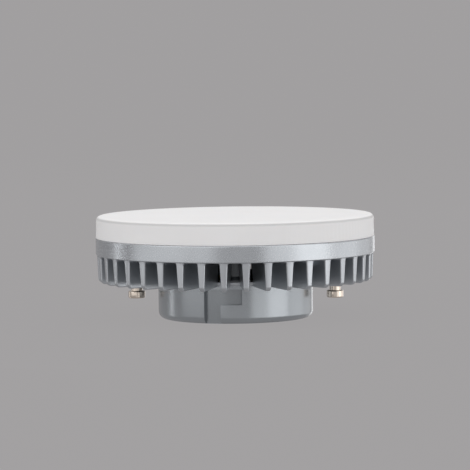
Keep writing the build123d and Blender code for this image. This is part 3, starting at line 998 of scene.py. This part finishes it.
@dataclass
class BaseHousing:
    """Moulded boss cup with keyed slots, snap tongues and the arms that carry the pins.

    A feature is made at the front or on the right, and build sets it in there and half a turn round.
    """

    sizes: LampSizes
    wall: float = 1.7 * MM
    floor: float = 1.6 * MM
    corner: float = 1.8 * MM
    rebate: float = 0.6 * MM
    rebate_height: float = 1.24 * MM
    key_depth: float = 1.3 * MM
    key_backing: float = 1.2 * MM
    key_from: float = -18.9  # degrees from the front
    key_to: float = -6.4
    pocket_to: float = 9.2
    ledge: float = 5.0 * MM
    land: float = 0.7 * MM
    arm_half: float = 3.1 * MM
    arm_floor: float = 2.2 * MM
    channel_half: float = 1.8 * MM
    shank_hole: float = 1.15 * MM
    tongue_half: float = 10.95  # degrees to each side of the tongue's middle
    tongue_middle: float = 4.5
    slit: float = 2.0
    hook_reach: float = 1.3 * MM
    hook_height: float = 2.4 * MM
    hook_land: float = 0.4 * MM
    hook_steps: int = 14
    rib_half: float = 3.0
    rib_depth: float = 0.5 * MM
    sill: float = 0.9 * MM
    rib_height: float = 4.7 * MM
    edge: float = 0.12 * MM

    @property
    def slot_top(self) -> float:
        """Upper level of the keyed slot."""
        return self.sizes.fin_level - self.land

    @property
    def tongue_root(self) -> float:
        """Radius in the middle of a snap tongue's wall, from which its hook and rib grow."""
        return (self.sizes.boss - self.wall + self.rebate + self.sizes.spigot) / 2

    def build(self) -> Piece:
        """Turns the cup and adds its arms, slots and tongues.

        Returns:
            The housing.
        """
        s = self.sizes
        cup = s.boss - self.wall
        rebate_level = s.housing_top - self.rebate_height
        body = turn("base_moulding", [
            (0, 0), (s.boss, 0), (s.boss, s.hub_level), (s.spigot, s.hub_level), (s.spigot, s.housing_top),
            (cup + self.rebate, s.housing_top), (cup + self.rebate, rebate_level), (cup, rebate_level),
            (cup, self.floor), (0, self.floor)], ROUND)
        round_circle(body, s.boss, 0, self.corner, 8)
        for side in SIDES:
            work(body, swing(self.make_arm(), side), Joining.WELD)
            work(body, swing(self.make_backing(), side), Joining.WELD)
            work(body, swing(self.make_channel(), side), Joining.CUT)
            work(body, self.make_slot(side), Joining.CUT)
            for tool in [swing(self.make_slit(way), side) for way in (-1, 1)]:
                work(body, tool, Joining.CUT)
            for tool in (swing(self.make_hook(), side), swing(self.make_rib(), side)):
                work(body, tool, Joining.WELD)
        soften(body, 28)
        return body

    def make_arm(self) -> Piece:
        """Arm that carries a pin, from the cup's wall outwards.

        Returns:
            The arm, with a round end and broken edges.
        """
        s = self.sizes
        start = s.boss - self.wall / 2
        arm = rounded_bar("arm", start, s.pin_circle, self.arm_half, s.hub_level, s.housing_top)
        round_edges(arm, lambda a, b: max(a.z, b.z) < s.hub_level + TINY and max(a.x, b.x) > start + TINY,
                    3 * self.edge, 3, clamp=True)
        return arm

    def make_channel(self) -> Piece:
        """Tool for the lead channel in an arm and the hole of its pin.

        Returns:
            The tool.
        """
        s = self.sizes
        high = s.housing_top + MM
        channel = rounded_bar("channel", s.boss - 2 * self.wall, s.pin_circle, self.channel_half,
                              s.hub_level + self.arm_floor, high)
        work(channel, peg("shank_hole", s.pin_circle, 0, self.shank_hole, s.hub_level - MM, high, 32),
             Joining.WELD)
        return channel

    def make_backing(self) -> Piece:
        """Wall that closes the keyed slot off inside the cup.

        Returns:
            The backing wall.
        """
        s = self.sizes
        floor_radius = s.boss - self.key_depth
        margin = self.key_backing / floor_radius * 180 / pi
        return ring_part("key_backing", floor_radius - self.key_backing, s.boss - self.wall / 2,
                         self.floor / 2, self.slot_top + self.key_backing, self.key_from - margin,
                         self.pocket_to + margin)

    def make_slot(self, side: float) -> Piece:
        """Tool for the keyed slot: an upright entry and a pocket beside its upper half.

        Args:
            side: turn about the axis in radians, 0 for the front.

        Returns:
            The tool, as deep in the pocket as in the entry.
        """
        s = self.sizes
        inner, outer = s.boss - self.key_depth, s.boss + self.wall
        entry = ring_part("key_entry", inner, outer, -self.floor, self.slot_top, self.key_from, self.key_to)
        slot = swing(entry, side)
        pocket = ring_part("key_pocket", inner, outer, self.ledge, self.slot_top,
                           (self.key_from + self.key_to) / 2, self.pocket_to)
        work(slot, swing(pocket, side), Joining.WELD)
        return slot

    def make_slit(self, way: int) -> Piece:
        """Tool for a slit that frees a snap tongue.

        Args:
            way: 1 for the slit at the tongue's right, -1 for the one at its left.

        Returns:
            The tool.
        """
        s = self.sizes
        middle = self.tongue_middle + way * (self.tongue_half + self.slit / 2)
        return ring_part("slit", s.boss - 2 * self.wall, s.boss + self.wall, s.hub_level,
                         s.housing_top + MM, middle - self.slit / 2, middle + self.slit / 2)

    def make_hook(self) -> Piece:
        """Wedge on the outside of a snap tongue.

        Returns:
            The wedge.
        """
        root, tip = self.tongue_root, self.sizes.spigot + self.hook_reach
        foot = self.sizes.hub_level + self.sill
        return turn("hook", [(root, foot), (tip, foot), (tip, foot + self.hook_land),
                             (root, foot + self.hook_height)], self.hook_steps,
                    radians(2 * self.tongue_half), radians(self.tongue_middle - self.tongue_half - 90))

    def make_rib(self) -> Piece:
        """Stiffening rib on the outside of a snap tongue."""
        foot = self.sizes.hub_level + self.sill
        return ring_part("rib", self.tongue_root, self.sizes.spigot + self.rib_depth, foot,
                         foot + self.rib_height, self.tongue_middle - self.rib_half,
                         self.tongue_middle + self.rib_half)


@dataclass
class ContactPin:
    """Mushroom pin with a bevelled head, riveted through its arm."""

    sizes: LampSizes
    hand: Hand
    head: float = 2.25 * MM
    head_height: float = 2.0 * MM
    head_edge: float = 0.35 * MM
    neck: float = 1.5 * MM
    shank: float = 1.1 * MM
    rivet: float = 1.6 * MM
    rivet_height: float = 0.6 * MM
    tail: float = 0.7 * MM
    arm_floor: float = 2.2 * MM
    steps: int = 96

    @property
    def node(self) -> str:
        """Name of the CAD node that the pin stands for."""
        return f"pin_{self.hand.name.lower()}"

    def build(self) -> Piece:
        """Turns the pin on the axis, squares its tail and moves it to its arm.

        Returns:
            The pin.
        """
        s = self.sizes
        low, high = (corner.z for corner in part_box(self.node))
        neck_level = low + self.head_height
        channel_level = s.hub_level + self.arm_floor
        rivet_top = channel_level + self.rivet_height
        pin = turn(self.node + "_turned", [
            (0, low), (self.head, low), (self.head, neck_level), (self.neck, neck_level),
            (self.neck, s.hub_level), (self.shank, s.hub_level), (self.shank, channel_level),
            (self.rivet, channel_level), (self.rivet, rivet_top), (0, rivet_top)], self.steps)
        round_circle(pin, self.head, low, self.head_edge, 5)
        round_circle(pin, self.head, neck_level, self.head_edge, 5)
        round_circle(pin, self.rivet, rivet_top, self.head_edge, 4)
        work(pin, bar("tail", (-self.tail, -self.tail, channel_level), (self.tail, self.tail, high)),
             Joining.WELD)
        pin.data.transform(Matrix.Translation((s.pin_circle, 0, 0)))
        soften(swing(pin, radians(self.hand.value)), 32)
        return pin


def hand_over(piece: Piece, finish: Finish, node: str) -> None:
    """Dresses a piece and reports it as the stand-in for a CAD node.

    Args:
        piece: the finished piece.
        finish: its surface.
        node: the CAD node it replaces.
    """
    piece.data.materials.clear()
    piece.data.materials.append(finish.material())
    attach(piece, "root")
    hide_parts(node)
    log.info("%s stands for %s, %d faces", piece.name, node, len(piece.data.polygons))


@dataclass(frozen=True)
class InnerParts:
    """Light source and driver, carried over from the frame and given their finishes."""

    dressing: tuple[tuple[Finish, tuple[str, ...]], ...] = (
        (Finish("grey_heat_pad", (0.30, 0.33, 0.36), roughness=0.8, grain=0.6 * MM, relief=0.03 * MM),
         ("thermal_pad",)),
        (Finish("white_solder_mask", (0.85, 0.85, 0.82), mottle=0.02, roughness=0.35, relief=0.004 * MM),
         ("led_board",)),
        (EmitterFinish("emitter_package", (0.85, 0.84, 0.80), roughness=0.3, grain=0.1 * MM),
         ("led_packages",)),
        (Finish("zinc_plated_steel", (0.55, 0.56, 0.58), metallic=1.0, roughness=0.28, grain=0.12 * MM),
         ("board_screws",)),
        (Finish("white_nylon", (0.78, 0.77, 0.73), mottle=0.03, roughness=0.5, grain=0.4 * MM),
         ("board_connector", "lead_grommet", "driver_cover")),
        (LaminateFinish("green_laminate", (0.02, 0.12, 0.045), roughness=0.3, grain=0.25 * MM),
         ("driver_board",)),
        (Finish("sintered_ferrite", (0.035, 0.035, 0.04), mottle=0.15, roughness=0.7, grain=0.2 * MM,
                relief=0.03 * MM), ("transformer_core", "filter_choke")),
        (Finish("black_bobbin", (0.02, 0.02, 0.022), roughness=0.4), ("transformer_bobbin",)),
        (Finish("yellow_winding_tape", (0.75, 0.50, 0.03), roughness=0.3, grain=0.5 * MM),
         ("transformer_winding",)),
        (Finish("dark_can_sleeve", (0.02, 0.025, 0.04), roughness=0.22, grain=0.8 * MM, coat=0.4),
         ("input_capacitor", "output_capacitor")),
        (Finish("yellow_film_box", (0.60, 0.42, 0.04), roughness=0.3, coat=0.3), ("film_capacitor",)),
        (Finish("black_moulded_package", (0.015, 0.015, 0.016), roughness=0.55, grain=0.15 * MM),
         ("bridge_rectifier", "driver_chip")),
        (Finish("blue_grey_flameproof", (0.12, 0.22, 0.30), roughness=0.65, relief=0.03 * MM),
         ("fuse_resistor",)),
        (Finish("blue_epoxy_dip", (0.02, 0.06, 0.24), roughness=0.25, coat=0.5, grain=0.9 * MM),
         ("varistor",)),
        (Finish("white_lead_sleeve", (0.75, 0.75, 0.72), roughness=0.4),
         ("input_lead_left", "input_lead_right")),
        (Finish("red_lead_sleeve", (0.50, 0.02, 0.015), roughness=0.35), ("output_lead_positive",)),
        (Finish("black_lead_sleeve", (0.015, 0.015, 0.015), roughness=0.35), ("output_lead_negative",)),
    )

    def dress(self) -> None:
        """Gives every inner node its material, one material for each finish."""
        for finish, nodes in self.dressing:
            material = finish.material()
            for node in nodes:
                target = frame["nodes"][node]
                target.data.materials.clear()
                target.data.materials.append(material)
                log.info("%s keeps its CAD shape as %s", node, finish.name)


@dataclass(frozen=True)
class Softbox:
    """Plain area light that faces the lamp.

    Attributes:
        name: name of the light.
        bearing: degrees from the camera's direction, to the right.
        level: height of its middle above the floor in metres.
        distance: distance from the lamp's axis in metres.
        width: width in metres.
        height: height in metres.
        radiance: brightness of its face, where white paper in full light is about 1.
    """

    name: str
    bearing: float
    level: float
    distance: float
    width: float
    height: float
    radiance: float

    @property
    def power(self) -> float:
        """Power in watts that gives its face this brightness."""
        return self.radiance * pi * self.width * self.height


@dataclass
class Studio:
    """Pale dish of a floor, soft lights and the camera at the photograph's view."""

    sizes: LampSizes
    azimuth: float = 4.7  # camera's direction, degrees from the front towards +X
    camera_distance: float = 0.690
    camera_level: float = 0.0698
    pitch: float = 3.98
    roll: float = 0.65
    focal_pixels: float = 2601.0
    image_pixels: float = 470.0
    sensor_mm: float = 36.0
    floor_radius: float = 1.6
    sweep_radius: float = 0.5
    wall_height: float = 0.7
    backdrop: tuple[float, float, float] = (0.362, 0.352, 0.356)
    floor_diffuse: float = 0.03
    floor_glow: float = 0.975
    floor_steps: int = 96
    sweep_steps: int = 12
    lights: tuple[Softbox, ...] = (
        Softbox("front_fill", 0, 0.0, 0.50, 0.30, 0.30, 0.15),
        Softbox("right_front_panel", 36, 0.0, 0.50, 0.24, 0.30, 0.70),
        Softbox("right_panel", 66, 0.0, 0.50, 0.31, 0.30, 1.24),
        Softbox("right_side_panel", 101, 0.0, 0.50, 0.27, 0.30, 0.77),
        Softbox("right_back_panel", 130, 0.0, 0.50, 0.25, 0.30, 0.48),
        Softbox("right_rim_strip", 160, 0.0, 0.50, 0.09, 0.30, 1.27),
        Softbox("left_front_card", -24, 0.016, 0.12, 0.04, 0.046, 0.46),
        Softbox("left_card", -57, 0.016, 0.12, 0.10, 0.046, 0.51),
        Softbox("left_rim_strip", -108.5, 0.0, 0.50, 0.03, 0.30, 2.3),
        Softbox("left_high_panel", -45, 0.20, 0.50, 0.80, 0.24, 0.90),
        Softbox("right_high_panel", 50, 0.20, 0.50, 0.50, 0.24, 0.62),
        Softbox("overhead_panel", 0, 0.55, 0.02, 1.60, 1.60, 0.77),
    )

    def build(self) -> None:
        """Sets up the floor, the lights, the surroundings and the camera."""
        bpy.context.scene.view_settings.view_transform = "Standard"
        self.make_floor()
        for light in self.lights:
            self.hang(light)
        self.make_surroundings()
        self.place_camera()

    def bearing_direction(self, bearing: float) -> Vector:
        """Level direction at a bearing from the camera's direction, to the right."""
        angle = radians(self.azimuth + bearing)
        return Vector((sin(angle), -cos(angle), 0))

    def make_floor(self) -> None:
        """Turns the floor with its upswept edge, an even pale grey.

        The metal mirrors the panels and not the floor, and the panels' lower halves shine through it.
        From below it is clear, so the lamp's underside shows.
        """
        angles = [step * pi / (2 * self.sweep_steps) for step in range(self.sweep_steps + 1)]
        arc = [(self.floor_radius + self.sweep_radius * sin(angle), self.sweep_radius * (1 - cos(angle)))
               for angle in angles]
        floor = turn("pale_floor", [(0, 0)] + arc + [(arc[-1][0], self.wall_height), (0, self.wall_height)],
                     self.floor_steps)
        pick(floor, Element.FACE, lambda centre, normal: centre.z > self.wall_height - TINY)
        bpy.ops.mesh.delete(type="FACE")
        pick_all(floor)
        bpy.ops.mesh.flip_normals()
        bpy.ops.object.mode_set(mode="OBJECT")
        soften(floor, 60)
        material = bpy.data.materials.new("pale_backdrop")
        material.use_nodes = True
        graph = Graph(material.node_tree)
        shader = graph.tree.nodes["Principled BSDF"]
        graph.feed(shader, {
            "Base Color": (*[c * self.floor_diffuse for c in self.backdrop], 1), "Roughness": 1.0,
            "Specular IOR Level": 0.0, "Emission Color": (*self.backdrop, 1),
            "Emission Strength": self.floor_glow})
        sides = graph.add("MixShader", {
            "Fac": graph.add("NewGeometry", {}).outputs["Backfacing"], 1: shader.outputs["BSDF"],
            2: graph.add("BsdfTransparent", {}).outputs["BSDF"]})
        graph.feed(graph.tree.nodes["Material Output"], {"Surface": sides.outputs["Shader"]})
        floor.data.materials.append(material)
        floor.visible_glossy = False
        floor.visible_shadow = False

    def hang(self, light: Softbox) -> None:
        """Hangs a softbox facing the lamp.

        Args:
            light: the softbox.
        """
        data = bpy.data.lights.new(light.name, "AREA")
        data.shape = "RECTANGLE"
        data.size = light.width
        data.size_y = light.height
        data.energy = light.power
        lamp = bpy.data.objects.new(light.name, data)
        bpy.context.scene.collection.objects.link(lamp)
        place = self.bearing_direction(light.bearing) * light.distance + Vector((0, 0, light.level))
        aim = Vector((0, 0, min(light.level, self.sizes.rim_level))) - place
        lamp.matrix_world = Matrix.Translation(place) @ aim.to_track_quat("-Z", "Y").to_matrix().to_4x4()
        lamp.visible_camera = False

    def make_surroundings(self) -> None:
        """Fills the room above the floor with the same pale grey."""
        world = bpy.data.worlds.new("studio_room")
        world.use_nodes = True
        background = world.node_tree.nodes["Background"]
        background.inputs["Color"].default_value = (*self.backdrop, 1)
        background.inputs["Strength"].default_value = 1.0
        bpy.context.scene.world = world

    def place_camera(self) -> None:
        """Places the camera where the photograph was taken from."""
        data = bpy.data.cameras.new("front_view")
        data.sensor_width = self.sensor_mm
        data.lens = self.focal_pixels / self.image_pixels * self.sensor_mm
        data.clip_start = 10 * MM
        data.clip_end = 20
        camera = bpy.data.objects.new("front_view", data)
        bpy.context.scene.collection.objects.link(camera)
        place = self.bearing_direction(0) * self.camera_distance + Vector((0, 0, self.camera_level))
        turned = (Matrix.Rotation(radians(self.azimuth), 4, "Z")
                  @ Matrix.Rotation(radians(90 - self.pitch), 4, "X")
                  @ Matrix.Rotation(radians(-self.roll), 4, "Z"))
        camera.matrix_world = Matrix.Translation(place) @ turned
        bpy.context.scene.camera = camera


def main() -> None:
    """Builds and dresses the lamp, then the studio round it."""
    logging.basicConfig(level=logging.INFO, format="%(name)s: %(message)s")
    sizes = LampSizes.from_frame()
    # the opal cap's painted corner shade sits just below its top
    opal = replace(OPAL, corner_level=sizes.top_level - OPAL.corner_half)
    cast = replace(CAST, turned_level=sizes.ring_level)
    housing = BaseHousing(sizes)
    # painted shade on the housing: in its keyed slots and above the hub's lower end
    moulded = replace(MOULDED, inside_shade_level=sizes.hub_level,
                      recess_shade_radius=sizes.boss - housing.key_depth / 2)
    hand_over(OpalCap(sizes).build(), opal, "diffuser")
    hand_over(HeatSink(sizes).build(), cast, "heat_sink")
    hand_over(housing.build(), moulded, "base_housing")
    for hand in Hand:
        pin = ContactPin(sizes, hand)
        hand_over(pin.build(), PLATED, pin.node)
    InnerParts().dress()
    Studio(sizes).build()


if __name__ == "__main__":
    main()
